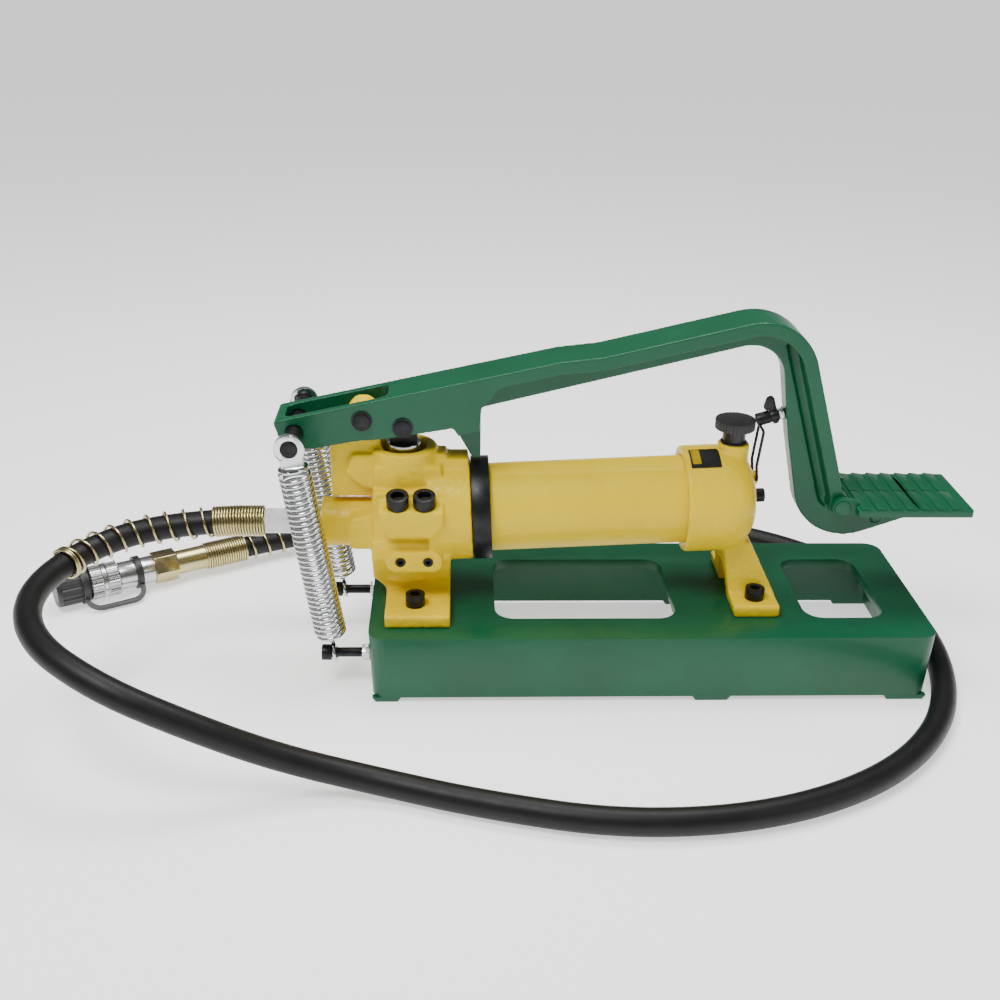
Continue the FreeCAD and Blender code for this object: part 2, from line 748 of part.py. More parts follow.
def lever():
    """Cast foot lever: a solid clevis end, then a wide outer flange on a narrower web."""
    arm = body("lever")
    flange = [
        (-275, 196, 5),
        (-250.8, 197.5, 0),
        (-218, 203.8, 0),
        (-195, 205.6, 0),
        (-140.6, 214.8, 0),
        (-136.3, 208.2, 0),
        (-119.5, 212, 0),
        (-118.3, 231.7, 3),
        (-103.5, 248.6, 14),
        (-57, 259.6, 0),
        (-24, 263.0, 0),
        FLANGE_CORNER,
        (170.5, 149, 0),
        (182.2, 149, 0),
        OUTER_CORNER,
        (-24, 274.2, 20),
        (-57, 270.3, 20),
        (-282.5, 220.2, 2),
    ]
    pad(arm, outline_sketch(arm, "flange", "XZ_Plane", flange), "lever_width", symmetric=True)
    web = [
        (-119, 228.0, 0),
        INNER_CORNER,
        (131.2, 202.6, 60),
        (153.8, 100.6, 46),
        (255, 137.7, 0),
        (255, 144.6, 0),
        (186, 144.6, 0),
        (177, 152, 0),
        (128.5, 307, 44),
        (-119, 250, 0),
    ]
    pad(arm, outline_sketch(arm, "web", "XZ_Plane", web), "lever_web", symmetric=True)
    stop = [(-141, 214, 0), (-124.8, 184.5, 1.5), (-118.4, 184.5, 1.5), (-118.4, 232, 0), (-136, 232, 0)]
    pad(arm, outline_sketch(arm, "stop", "XZ_Plane", stop), 17, symmetric=True)
    groove = [
        (121, 282.6, 2),
        (128.7, 285, 0),
        (170.5, 149, 0),
        (188, 149, 0),
        (188, 140.5, 0),
        (165, 140.5, 14),
    ]
    for name, side in (("front", 1), ("rear", -1)):
        relief = outline_sketch(arm, name + "_groove", "XZ_Plane", groove, side * 6.5)
        pocket(arm, relief, 12, upward=side > 0)
    eye = circle_sketch(arm, "pedal_eye", "XZ_Plane", [(PEDAL_PIN.x, PEDAL_PIN.z, 8.8)])
    pad(arm, eye, "lever_width", symmetric=True)
    half_slot = size("lever_slot") / 2
    recess = rectangle(-274, -192, -14, 14, 7)
    pocket(arm, outline_sketch(arm, "recess", "XY_Plane", recess, 300), 91)
    slot = rectangle(-258.5, -192, -half_slot, half_slot, 1.5)
    pocket(arm, outline_sketch(arm, "slot", "XY_Plane", slot, 300))
    channel = rectangle(-203, -160, -half_slot, half_slot)
    pocket(arm, outline_sketch(arm, "channel", "XY_Plane", channel, 230.5))
    holes = [
        (FULCRUM.x, FULCRUM.z, "pin_radius + pin_gap"),
        (PLUNGER_PIN.x, PLUNGER_PIN.z, "pin_radius + thread_gap"),
        (SPRING_PIN.x, SPRING_PIN.z, "pin_radius + thread_gap"),
        (PEDAL_PIN.x, PEDAL_PIN.z, "pin_radius + thread_gap"),
        (213, 131.4, "4 + thread_gap"),
    ]
    pocket(arm, circle_sketch(arm, "pin_holes", "XZ_Plane", holes), "lever_width + 20", symmetric=True)
    latch = cylinder("latch_hole", "3 + thread_gap", 30, LATCH_SEAT + LATCH_AXIS * 8, LATCH_AXIS * -1)
    return cut("foot_lever", arm, [latch])


LATCH_LEAN = math.atan(0.31)
LATCH_AXIS = Vector(-math.cos(LATCH_LEAN), 0, -math.sin(LATCH_LEAN))
LATCH_SEAT = Vector(128.0, 0, 222.0)
BAIL_PIN = Vector(109.6, 0, 165)


def latch_bolt():
    shank = cylinder("latch_shank", 3, 32, LATCH_SEAT + LATCH_AXIS * 12.4, LATCH_AXIS * -1)
    head = cylinder("latch_head", 5.3, 11, LATCH_SEAT + LATCH_AXIS * 12.2, LATCH_AXIS)
    key = hexagon("latch_key", 5, 6, LATCH_SEAT + LATCH_AXIS * 19, LATCH_AXIS)
    return cut("latch_bolt", fuse("latch_blank", [shank, head]), [key])


def latch_nut():
    base = LATCH_SEAT + LATCH_AXIS * 0.9
    blank = hexagon("latch_nut_blank", 10, 3.8, base, LATCH_AXIS)
    hole = cylinder("latch_nut_hole", "3 + thread_gap", 8, base - LATCH_AXIS, LATCH_AXIS)
    return cut("latch_nut", blank, [hole])


def latch_wing():
    """Wing nut on the latch bolt: a hub with a tall rounded wing and a short one."""
    wing = body("wing_blades")
    outline = [(-7, -2.5, 2), (-7, 2.8, 2), (5.9, 2.8, 0), (6, 9.5, 3), (17, 3, 4), (17, -2.5, 3)]
    pad(wing, outline_sketch(wing, "wing_outline", "XZ_Plane", outline), 2.6, symmetric=True)
    lean = Rotation(Z_AXIS, LATCH_AXIS)
    base = LATCH_SEAT + LATCH_AXIS * 8
    wing.Placement = Placement(base, lean)
    hub = cylinder("wing_hub", 5, 6.6, base - LATCH_AXIS * 2.8, LATCH_AXIS)
    hole = cylinder("wing_hole", "3 + pin_gap", 14, base - LATCH_AXIS * 7, LATCH_AXIS)
    return cut("latch_wing", fuse("wing_blank", [wing, hub]), [hole])


def wire_loop(name, corners, bend, wire_radius):
    """Closed wire loop through corner points, each corner rounded."""
    count = len(corners)
    joints = []
    for index, here in enumerate(corners):
        before = (corners[index - 1] - here).normalize()
        after = (corners[(index + 1) % count] - here).normalize()
        half = before.getAngle(after) / 2
        reach = bend / math.tan(half)
        middle = (before + after).normalize() * (bend / math.sin(half) - bend)
        joints.append((here + before * reach, here + middle, here + after * reach))
    edges = []
    for index, (start, middle, end) in enumerate(joints):
        edges.append(Part.Arc(start, middle, end).toShape())
        edges.append(Part.LineSegment(end, joints[(index + 1) % count][0]).toShape())
    path = Part.Wire(edges)
    start = joints[0][2]
    direction = (joints[1][0] - start).normalize()
    section = Part.Wire([Part.makeCircle(wire_radius, start, direction)])
    loop = DOC.addObject("Part::Feature", name)
    ordered = Part.Wire(edges[1:] + edges[:1])
    loop.Shape = ordered.makePipeShell([section], True, True)
    return loop


def latch_bail():
    """Wire bail hinged on the rear cap, its crossbar under the latch bolt's head."""
    knee = BAIL_PIN + Vector(-1.7, 0, 13)
    top = BAIL_PIN + Vector(1.2, 0, 43.4)
    front = [side_base(point, -8.6) for point in (BAIL_PIN, knee, top)]
    corners = front + [side_base(point, 8.6) for point in (top, knee, BAIL_PIN)]
    return wire_loop("latch_bail", corners, 2.6, 1.2)


# ---------------------------------------------------------------- pedal

def pedal():
    """Ribbed tread plate with two ears on the lever's pedal pin."""
    tread = body("tread")
    half = size("pedal_width") / 2
    low = size("pedal_left")
    high = size("pedal_right")
    outline = rectangle(low, high, -half, half, 2)
    slab = outline_sketch(tread, "tread_outline", "XY_Plane", outline, size("pedal_bottom"))
    pad(tread, slab, "pedal_top - pedal_bottom - 1.8")
    level = size("pedal_top") - 1.8
    rib = [(low + 1, level - 1, 0), (low + 12, level - 1, 0), (low + 11, level + 0.6, 0), (low + 3, level + 1.8, 0)]
    ridge = pad(tread, outline_sketch(tread, "rib", "XZ_Plane", rib), "pedal_width - 2", symmetric=True)
    rows = tread.newObject("PartDesign::LinearPattern", "ribs")
    rows.Originals = [ridge]
    rows.Direction = (ridge.Profile[0], ["H_Axis"])
    rows.Length = 75
    rows.Occurrences = 7
    tread.Tip = rows
    arm = [
        (PEDAL_PIN.x, PEDAL_PIN.z - 8, 0),
        (low + 8, size("pedal_bottom") + 0.1, 0),
        (low + 8, level, 0),
        (low + 2, level + 3, 3),
        (PEDAL_PIN.x, PEDAL_PIN.z + 8, 0),
    ]
    solids = [tread]
    for name, start in (("front_ear", 21.6), ("rear_ear", -28.6)):
        solids.append(plate(name + "_arm", "XZ_Plane", arm, 7, start))
        base = Vector(PEDAL_PIN.x, -start, PEDAL_PIN.z)
        solids.append(cylinder(name, 8, 7, base, Y_AXIS * -1))
    hole = cross_rod("ear_holes", "pin_radius + pin_gap", PEDAL_PIN, 40)
    crease = block("tread_crease", (low - 1, -0.8, level + 0.2), (high + 1, 0.8, level + 6))
    return cut("pedal", fuse("pedal_blank", solids), [hole, crease])


# ---------------------------------------------------------------- return springs

def spring_line(side):
    """Upper pin point, unit direction and length of one return spring's line."""
    top = side_base(SPRING_PIN, side * size("spring_side"))
    bottom = Vector(HOOK_PLACE, side * size("spring_side"), size("anchor_height"))
    return top, (bottom - top).normalize(), (bottom - top).Length


def spring_clip(name, side):
    """Pressed clip: a ring on the cross pin, a tongue and a round spring seat."""
    top, down, _ = spring_line(side)
    ring = cylinder(name + "_ring", 12, 4, top - Y_AXIS * 2, Y_AXIS)
    tongue = DOC.addObject("Part::Box", name + "_tongue")
    bind(tongue, "Length", 18)
    bind(tongue, "Width", 4)
    bind(tongue, "Height", 10)
    turn = Rotation(Z_AXIS, down)
    tongue.Placement = Placement(top + turn.multVec(Vector(-9, -2, 6)), turn)
    seat = cylinder(name + "_seat", 12, 2, top + down * 15, down)
    hole = cylinder(name + "_hole", "pin_radius + pin_gap", 20, top - Y_AXIS * 10, Y_AXIS)
    return cut(name, fuse(name + "_blank", [ring, tongue, seat]), [hole])


def return_spring(name, side):
    """Round wire coil between the clip's seat and the lower hook."""
    top, down, length = spring_line(side)
    coil_start = 19.0
    coil_length = length - coil_start - 15.0
    radius = size("spring_radius")
    path = Part.Wire(Part.makeHelix(coil_length / COIL_TURNS, coil_length, radius).Edges)
    section = Part.Wire([Part.makeCircle(size("spring_wire") / 2, Vector(radius, 0, 0), Y_AXIS)])
    spring = DOC.addObject("Part::Feature", name)
    spring.Shape = path.makePipeShell([section], True, True)
    return lay(spring, top + down * coil_start, down)


def spring_hooks():
    """Wire hook from each spring's last turn round its anchor bolt."""
    hooks = []
    for index, side in enumerate((-1, 1)):
        _, down, length = spring_line(side)
        center = Vector(HOOK_PLACE, side * size("spring_side"), size("anchor_height"))
        loop = torus("hook_loop%d" % index, 5.9, 1.2, center, X_AXIS)
        link = cylinder("hook_link%d" % index, 1.2, 6.5, center - down * 5.9, down * -1)
        seat = cylinder("hook_seat%d" % index, 10, 1.2, center - down * 12.4, down * -1)
        hooks.append(fuse("spring_hook%d" % index, [loop, link, seat]))
    return group("spring_hooks", hooks)


# ---------------------------------------------------------------- hose

HOSE_RISE = size("outlet_height")
FLOOR = size("hose_diameter") / 2 + 0.25
COUPLER_RISE = 18.4
HOSE_POINTS = [
    Vector(-320.5, 0, HOSE_RISE),
    Vector(-386, 0, 121),
    Vector(-441, -40, 115),
    Vector(-462, -104, 113),
    Vector(-441, -168, 111),
    Vector(-386, -207, 97),
    Vector(-326, -211, 68),
    Vector(-266, -200, 32),
    Vector(-195, -200, FLOOR),
    Vector(-120, -227, FLOOR),
    Vector(-20, -251, FLOOR),
    Vector(85, -243, FLOOR),
    Vector(178, -203, FLOOR),
    Vector(243, -138, FLOOR),
    Vector(275, -58, FLOOR),
    Vector(281, 30, FLOOR),
    Vector(255, 116, FLOOR),
    Vector(193, 183, FLOOR),
    Vector(105, 228, FLOOR),
    Vector(-10, 250, FLOOR),
    Vector(-145, 246, FLOOR),
    Vector(-272, 202.7, COUPLER_RISE),
    Vector(-378, 143, COUPLER_RISE),
]
HOSE_END = HOSE_POINTS[-1]
COUPLER_AXIS = (HOSE_END - HOSE_POINTS[-2]).normalize()
STRAP_DIP = math.radians(29)


def hose_edges(points):
    """Straight runs and tangent arcs through a route, with each arc's radius."""
    edges = []
    radii = []
    last = points[0]
    for before, here, after in zip(points, points[1:], points[2:]):
        back = before - here
        ahead = after - here
        run = min(back.Length, ahead.Length)
        back.normalize()
        ahead.normalize()
        half = back.getAngle(ahead) / 2
        radius = 0.45 * run * math.tan(half)
        reach = 0.45 * run
        middle = (back + ahead).normalize() * (radius / math.sin(half) - radius)
        edges.append(Part.LineSegment(last, here + back * reach).toShape())
        edges.append(Part.Arc(here + back * reach, here + middle, here + ahead * reach).toShape())
        last = here + ahead * reach
        radii.append(radius)
    edges.append(Part.LineSegment(last, points[-1]).toShape())
    return edges, radii


def pipe(edges, radius):
    """Solid round bar along a chain of edges."""
    start = edges[0].valueAt(edges[0].FirstParameter)
    direction = edges[0].tangentAt(edges[0].FirstParameter)
    section = Part.Wire([Part.makeCircle(radius, start, direction)])
    return Part.Wire(edges).makePipeShell([section], True, True)


def hose():
    edges, radii = hose_edges(HOSE_POINTS)
    tube = DOC.addObject("Part::Feature", "hose")
    radius = size("hose_diameter") / 2
    tube.Shape = pipe(edges, radius)
    length = Part.Wire(edges).Length
    print("hose length %.0f mm" % length)
    print("hose volume over section times length %.4f" % (tube.Shape.Volume / (math.pi * radius ** 2 * length)))
    print("bend radii in diameters", [round(bend / size("hose_diameter"), 1) for bend in radii])
    return tube


def guard(name, edges):
    """Envelope of the wire guard round the hose."""
    sleeve = DOC.addObject("Part::Feature", name)
    outside = pipe(edges, size("guard_outer"))
    sleeve.Shape = outside.cut(pipe(edges, size("guard_inner")))
    return sleeve


def pump_guard():
    edges, _ = hose_edges(HOSE_POINTS)
    start = Vector(-296.8, 0, HOSE_RISE)
    first_end = edges[0].valueAt(edges[0].LastParameter)
    straight = Part.LineSegment(start, first_end).toShape()
    return guard("pump_guard", [straight] + edges[1:3])


def coupler_guard():
    edges, _ = hose_edges(HOSE_POINTS)
    return guard("coupler_guard", edges[-2:])


def ringed(name, radius, bore, length, base, axis):
    """Round sleeve with a through bore."""
    outside = cylinder(name + "_outside", radius, length, base, axis)
    inside = cylinder(name + "_bore", bore, length + 2, base - axis, axis)
    return cut(name, outside, [inside])


def outlet_adapter():
    back = Vector(-249.2, 0, size("outlet_height"))
    stud = cylinder("adapter_stud", 10, 18, back, X_AXIS)
    collar = cylinder("adapter_collar", 11.5, 7, back, X_AXIS * -1)
    bar = hexagon("adapter_hex", 20, 40.2, back - X_AXIS * 7, X_AXIS * -1)
    bore = cylinder("adapter_bore", 4, 80, back + X_AXIS * 20, X_AXIS * -1)
    return cut("outlet_adapter", fuse("adapter_blank", [stud, collar, bar]), [bore])


def pump_ferrule():
    return ringed("pump_ferrule", 10.7, 4, 23.9, HOSE_POINTS[0], X_AXIS)


def along_coupler(distance):
    return HOSE_END + COUPLER_AXIS * distance


def coupler_ferrule():
    return ringed("coupler_ferrule", 11.5, 4, 33, along_coupler(0), COUPLER_AXIS)


def swivel_nut():
    blank = hexagon("swivel_blank", 27, 22, along_coupler(33.1), COUPLER_AXIS)
    bore = cylinder("swivel_bore", 4, 26, along_coupler(32), COUPLER_AXIS)
    return cut("swivel_nut", blank, [bore])


def coupler_body():
    neck = cylinder("coupler_neck", 13, 33, along_coupler(55.2), COUPLER_AXIS)
    nose = cylinder("coupler_nose", 11.5, 32, along_coupler(88), COUPLER_AXIS)
    bore = cylinder("coupler_bore", 6.2, 70, along_coupler(54), COUPLER_AXIS)
    return cut("coupler_body", fuse("coupler_blank", [neck, nose]), [bore])


def coupler_poppet():
    stem = cylinder("poppet_stem", 2, 40, along_coupler(68), COUPLER_AXIS)
    head = cone("poppet_head", 5.9, 3, 4, along_coupler(108), COUPLER_AXIS)
    return fuse("coupler_poppet", [stem, head])


def coupler_collar():
    return ringed("coupler_collar", 17, "11.5 + move_gap", 27, along_coupler(88.6), COUPLER_AXIS)


def dust_cap():
    """Moulded cap over the coupler's open end."""
    base = along_coupler(116)
    outside = cylinder("dust_outside", 16, 30, base, COUPLER_AXIS)
    inside = cylinder("dust_inside", "11.5 + move_gap", 6, base - COUPLER_AXIS, COUPLER_AXIS)
    return cut("dust_cap", outside, [inside])


def dust_strap():
    """Flat strap from a ring on the coupler body to a ring round the dust cap, sloping to the floor."""
    ring = ringed("strap_ring", 15.5, 13.2, 6, along_coupler(67), COUPLER_AXIS)
    cap_ring = ringed("strap_cap_ring", 18, 16.4, 5, along_coupler(118.5), COUPLER_AXIS)
    loop = [
        (67.5, 14.2, 0),
        (67.5, 32, 14.5),
        (123, 32, 14.5),
        (123, 16.9, 0),
        (119, 16.9, 0),
        (119, 27.5, 10),
        (72, 27.5, 10),
        (72, 14.2, 0),
    ]
    band = plate("strap_band", "XY_Plane", loop, 3, symmetric=True)
    level = Z_AXIS.cross(COUPLER_AXIS)
    outward = level * math.cos(STRAP_DIP) - Z_AXIS * math.sin(STRAP_DIP)
    turn = Rotation(COUPLER_AXIS, outward, COUPLER_AXIS.cross(outward), "XYZ")
    band.Placement = Placement(HOSE_END, turn)
    return fuse("dust_strap", [ring, cap_ring, band])


# ---------------------------------------------------------------- assembly

def build():
    nodes = [
        base_tray(),
        anchor_bolts(),
        anchor_nuts(),
        pump_body(),
        body_foot_bolts(),
        valve_plugs(),
        valve_balls(),
        valve_springs(),
        relief_screws(),
        plunger_gland(),
        plunger_seal(),
        release_stem(),
        release_knob(),
        reservoir_tube(),
        reservoir_ring(),
        tank_seal("front_tube_seal", -138.3),
        tank_seal("rear_tube_seal", 58.3),
        rear_cap(),
        cap_foot_bolts(),
        tie_bolt(),
        tie_seal(),
        vent_cap(),
        vent_seal(),
        suction_pipe(),
        suction_filter(),
        plunger(),
        plunger_head(),
        cross_rod("fulcrum_pin", "pin_radius", FULCRUM, 24),
        cross_rod("plunger_pin", "pin_radius", PLUNGER_PIN, 24),
        pin_clips("fulcrum_clips", FULCRUM),
        pin_clips("plunger_pin_clips", PLUNGER_PIN),
        lever(),
        cross_rod("spring_cross_pin", "pin_radius", SPRING_PIN, size("spring_pin_reach")),
        latch_bolt(),
        latch_nut(),
        latch_wing(),
        latch_bail(),
        pedal(),
        cross_rod("pedal_pin", "pin_radius", PEDAL_PIN, 30),
        cross_rod("pedal_stop_pin", 4, Vector(213, 0, 131.4), 9.4),
        spring_clip("front_spring_clip", -1),
        spring_clip("rear_spring_clip", 1),
        return_spring("front_return_spring", -1),
        return_spring("rear_return_spring", 1),
        spring_hooks(),
        outlet_adapter(),
        pump_ferrule(),
        pump_guard(),
        hose(),
        coupler_guard(),
        coupler_ferrule(),
        swivel_nut(),
        coupler_body(),
        coupler_poppet(),
        coupler_collar(),
        dust_cap(),
        dust_strap(),
    ]
    DOC.recompute()
    return nodes


def check(nodes):
    """Stop unless every feature was built and every node holds valid solids."""
    for item in DOC.Objects:
        if "Invalid" in item.State or "Error" in item.State:
            raise RuntimeError("%s: %s" % (item.Name, item.State))
    for node in nodes:
        shape = node.Shape
        if shape.isNull() or not shape.isValid() or not shape.Solids:
            raise RuntimeError("bad shape: " + node.Label)


def export(nodes):
    os.makedirs("parts", exist_ok=True)
    for node in nodes:
        node.Shape.exportStep("parts/%s.step" % node.Label)


NODES = build()
check(NODES)
export(NODES)
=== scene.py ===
"""Looks of the foot-operated hydraulic pump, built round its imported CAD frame. Lengths in metres."""

import json
import math

import bmesh
import bpy
import numpy as np
from mathutils import Matrix, Vector, noise


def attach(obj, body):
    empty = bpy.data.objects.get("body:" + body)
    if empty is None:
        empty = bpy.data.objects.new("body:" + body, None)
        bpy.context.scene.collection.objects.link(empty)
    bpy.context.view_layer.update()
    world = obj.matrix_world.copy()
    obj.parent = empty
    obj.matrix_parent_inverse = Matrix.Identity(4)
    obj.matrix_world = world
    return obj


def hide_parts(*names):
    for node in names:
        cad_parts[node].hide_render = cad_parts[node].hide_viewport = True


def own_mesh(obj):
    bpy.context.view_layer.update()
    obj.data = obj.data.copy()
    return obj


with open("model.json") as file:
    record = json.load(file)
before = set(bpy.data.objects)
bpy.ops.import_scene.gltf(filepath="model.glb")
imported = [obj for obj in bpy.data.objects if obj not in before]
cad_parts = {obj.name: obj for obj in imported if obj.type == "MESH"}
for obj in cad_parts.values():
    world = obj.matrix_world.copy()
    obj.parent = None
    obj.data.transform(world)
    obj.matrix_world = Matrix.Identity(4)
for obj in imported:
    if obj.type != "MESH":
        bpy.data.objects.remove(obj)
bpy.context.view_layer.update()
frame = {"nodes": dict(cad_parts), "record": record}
BODY_OF = {node: name for name, nodes in frame["record"]["behaviour"]["bodies"].items() for node in nodes}


# ---------------------------------------------------------------- camera, light, floor

CAMERA_PLACE = (-0.1387, -0.9299, 0.5713)
CAMERA_TURN = (2.28, 24.69, 0.99)
CAMERA_LENS = 44.34
SENSOR_WIDTH = 36


def add_camera():
    """From the front, a little above, turned by the degrees of yaw, pitch and roll in CAMERA_TURN."""
    yaw, pitch, roll = (math.radians(angle) for angle in CAMERA_TURN)
    forward = Vector((math.sin(yaw) * math.cos(pitch), math.cos(yaw) * math.cos(pitch), -math.sin(pitch)))
    right = Vector((math.cos(yaw), -math.sin(yaw), 0))
    up = right.cross(forward)
    tilted_right = math.cos(roll) * right + math.sin(roll) * up
    tilted_up = math.cos(roll) * up - math.sin(roll) * right
    turn = Matrix((tilted_right, tilted_up, -forward)).transposed().to_4x4()
    lens = bpy.data.cameras.new("camera")
    lens.lens = CAMERA_LENS
    lens.sensor_width = SENSOR_WIDTH
    camera = bpy.data.objects.new("camera", lens)
    camera.matrix_world = Matrix.Translation(CAMERA_PLACE) @ turn
    bpy.context.collection.objects.link(camera)
    bpy.context.scene.camera = camera


def add_area_light(name, place, target, size, power):
    light = bpy.data.lights.new(name, "AREA")
    light.shape = "RECTANGLE"
    light.size, light.size_y = size
    light.energy = power
    lamp = bpy.data.objects.new(name, light)
    direction = Vector(target) - Vector(place)
    lamp.location = place
    lamp.rotation_euler = direction.to_track_quat("-Z", "Y").to_euler()
    bpy.context.collection.objects.link(lamp)


def add_lights():
    world = bpy.data.worlds.new("studio")
    world.use_nodes = True
    tree = world.node_tree
    background = tree.nodes["Background"]
    background.inputs["Strength"].default_value = 0.6
    direction = tree.nodes.new("ShaderNodeTexCoord")
    parts = tree.nodes.new("ShaderNodeSeparateXYZ")
    ramp = tree.nodes.new("ShaderNodeValToRGB")
    elements = ramp.color_ramp.elements
    for position in (0.14, 0.25):
        elements.new(position)
    for element, (position, shade) in zip(elements, ((0.0, 0.8), (0.14, 0.6), (0.25, 0.06), (1.0, 0.9))):
        element.position = position
        element.color = (shade, shade, shade, 1)
    tree.links.new(direction.outputs["Generated"], parts.inputs["Vector"])
    tree.links.new(parts.outputs["Z"], ramp.inputs["Fac"])
    tree.links.new(ramp.outputs["Color"], background.inputs["Color"])
    bpy.context.scene.world = world
    add_area_light("key", (-0.7, -0.7, 1.7), (0, 0, 0.1), (0.8, 0.6), 30)
    add_area_light("fill", (1.3, -0.9, 0.8), (0.05, 0, 0.15), (0.6, 0.6), 4)
    add_area_light("top", (0.1, 0.3, 1.6), (0, 0, 0.1), (1.0, 0.6), 22)


def add_floor():
    bpy.ops.mesh.primitive_plane_add(size=60, location=(0, 0, -0.0004))
    floor = bpy.context.object
    floor.name = "floor"
    paper = simple_material("floor_paper", (0.9, 0.9, 0.9), 0.9)
    shader = paper.node_tree.nodes["Principled BSDF"]
    shader.inputs["Specular IOR Level"].default_value = 0.1
    shader.inputs["Emission Color"].default_value = (1, 1, 1, 1)
    shader.inputs["Emission Strength"].default_value = 0.8
    floor.data.materials.append(paper)


# ---------------------------------------------------------------- materials

def simple_material(name, color, roughness):
    made = bpy.data.materials.new(name)
    made.use_nodes = True
    shader = made.node_tree.nodes["Principled BSDF"]
    shader.inputs["Base Color"].default_value = (*color, 1)
    shader.inputs["Roughness"].default_value = roughness
    return made


class Surface:
    """A Principled material put together from noise textures in the row frame's own metres."""

    def __init__(self, name, **values):
        self.material = bpy.data.materials.new(name)
        self.material.use_nodes = True
        self.tree = self.material.node_tree
        self.shader = self.tree.nodes["Principled BSDF"]
        self.coordinates = self.node("ShaderNodeTexCoord").outputs["Object"]
        for socket, value in values.items():
            self.shader.inputs[socket.replace("_", " ")].default_value = value

    def node(self, kind, **settings):
        made = self.tree.nodes.new(kind)
        for key, value in settings.items():
            setattr(made, key, value)
        return made

    def link(self, source, target):
        self.tree.links.new(source, target)

    def noise(self, grain, detail=3.0, roughness=0.55):
        """Noise whose largest features are about grain metres across."""
        texture = self.node("ShaderNodeTexNoise")
        texture.inputs["Scale"].default_value = 1 / grain
        texture.inputs["Detail"].default_value = detail
        texture.inputs["Roughness"].default_value = roughness
        self.link(self.coordinates, texture.inputs["Vector"])
        return texture.outputs["Fac"]

    def ramp(self, factor, stops):
        made = self.node("ShaderNodeValToRGB")
        elements = made.color_ramp.elements
        while len(elements) < len(stops):
            elements.new(0.5)
        for element, (position, color) in zip(elements, stops):
            element.position = position
            element.color = (*color, 1) if len(color) == 3 else color
        self.link(factor, made.inputs["Fac"])
        return made.outputs["Color"]

    def color(self, factor, stops):
        self.link(self.ramp(factor, stops), self.shader.inputs["Base Color"])

    def rough(self, factor, low, high):
        scale = self.node("ShaderNodeMapRange")
        scale.inputs["To Min"].default_value = low
        scale.inputs["To Max"].default_value = high
        self.link(factor, scale.inputs["Value"])
        self.link(scale.outputs["Result"], self.shader.inputs["Roughness"])

    def bump(self, *layers):
        """Layers of (factor, height in metres), one after the other."""
        normal = None
        for factor, height in layers:
            made = self.node("ShaderNodeBump")
            made.inputs["Distance"].default_value = height
            self.link(factor, made.inputs["Height"])
            if normal:
                self.link(normal, made.inputs["Normal"])
            normal = made.outputs["Normal"]
        self.link(normal, self.shader.inputs["Normal"])


def green_enamel():
    made = Surface("green_enamel", Specular_IOR_Level=0.3, Coat_Weight=0.12, Coat_Roughness=0.1)
    made.color(made.noise(0.09), [(0.3, (0.0002, 0.066, 0.026)), (0.7, (0.0006, 0.088, 0.036))])
    made.rough(made.noise(0.02), 0.3, 0.46)
    made.bump((made.noise(0.012, 1.0), 0.00022), (made.noise(0.0011, 2.0), 0.00003))
    return made.material


def yellow_enamel(name, coarse):
    """Yellow paint over a casting's rough skin, or over a smooth tube when coarse is small."""
    made = Surface(name, Specular_IOR_Level=0.2, Coat_Weight=0.1, Coat_Roughness=0.12)
    made.color(made.noise(0.05), [(0.3, (0.74, 0.51, 0.0)), (0.7, (0.80, 0.57, 0.0))])
    made.rough(made.noise(0.012), 0.34, 0.5)
    made.bump((made.noise(0.004, 2.0), 0.0005 * coarse), (made.noise(0.0009, 2.0), 0.00006 * coarse))
    return made.material


def black_oxide():
    made = Surface("black_oxide_steel", Metallic=0.75, Roughness=0.4)
    made.color(made.noise(0.01), [(0.3, (0.012, 0.012, 0.013)), (0.75, (0.03, 0.03, 0.032))])
    made.rough(made.noise(0.003), 0.3, 0.5)
    made.bump((made.noise(0.0006, 3.0), 0.00003))
    return made.material


def plated_steel(name, dark, light, low, high):
    """Zinc or chrome plate with cloudy patches."""
    made = Surface(name, Metallic=1.0)
    made.color(made.noise(0.012, 4.0), [(0.3, dark), (0.7, light)])
    made.rough(made.noise(0.004, 4.0), low, high)
    made.bump((made.noise(0.0012, 2.0), 0.000003))
    return made.material


def rubber(name, shade):
    made = Surface(name, Specular_IOR_Level=0.25)
    made.color(made.noise(0.02), [(0.3, (shade * 0.8,) * 3), (0.7, (shade * 1.2,) * 3)])
    made.rough(made.noise(0.006), 0.38, 0.56)
    made.bump((made.noise(0.0012, 3.0), 0.00005))
    return made.material


def black_plastic():
    made = Surface("moulded_plastic")
    made.color(made.noise(0.01), [(0.3, (0.010, 0.010, 0.011)), (0.7, (0.018, 0.018, 0.019))])
    made.rough(made.noise(0.004), 0.34, 0.52)
    made.bump((made.noise(0.0005, 3.0), 0.00004))
    return made.material


MATERIALS = {
    "green_paint": green_enamel(),
    "yellow_paint": yellow_enamel("yellow_enamel_cast", 1.0),
    "black_oxide": black_oxide(),
    "bright_zinc": plated_steel("bright_zinc_plate", (0.48, 0.48, 0.48), (0.56, 0.56, 0.56), 0.2, 0.28),
    "gold_zinc": plated_steel("yellow_zinc_plate", (0.42, 0.36, 0.17), (0.52, 0.45, 0.24), 0.2, 0.3),
    "chrome": plated_steel("chrome_plate", (0.60, 0.61, 0.62), (0.68, 0.69, 0.70), 0.06, 0.14),
    "brass": plated_steel("turned_brass", (0.55, 0.40, 0.16), (0.72, 0.56, 0.26), 0.2, 0.35),
    "rubber": rubber("black_rubber", 0.012),
    "hose_rubber": rubber("hose_cover", 0.006),
    "black_plastic": black_plastic(),
}
SMOOTH_YELLOW = yellow_enamel("yellow_enamel_tube", 0.12)
SLOT_OF = {part["node"]: part["material_slot"] for part in frame["record"]["subparts"]}


# ---------------------------------------------------------------- mesh helpers

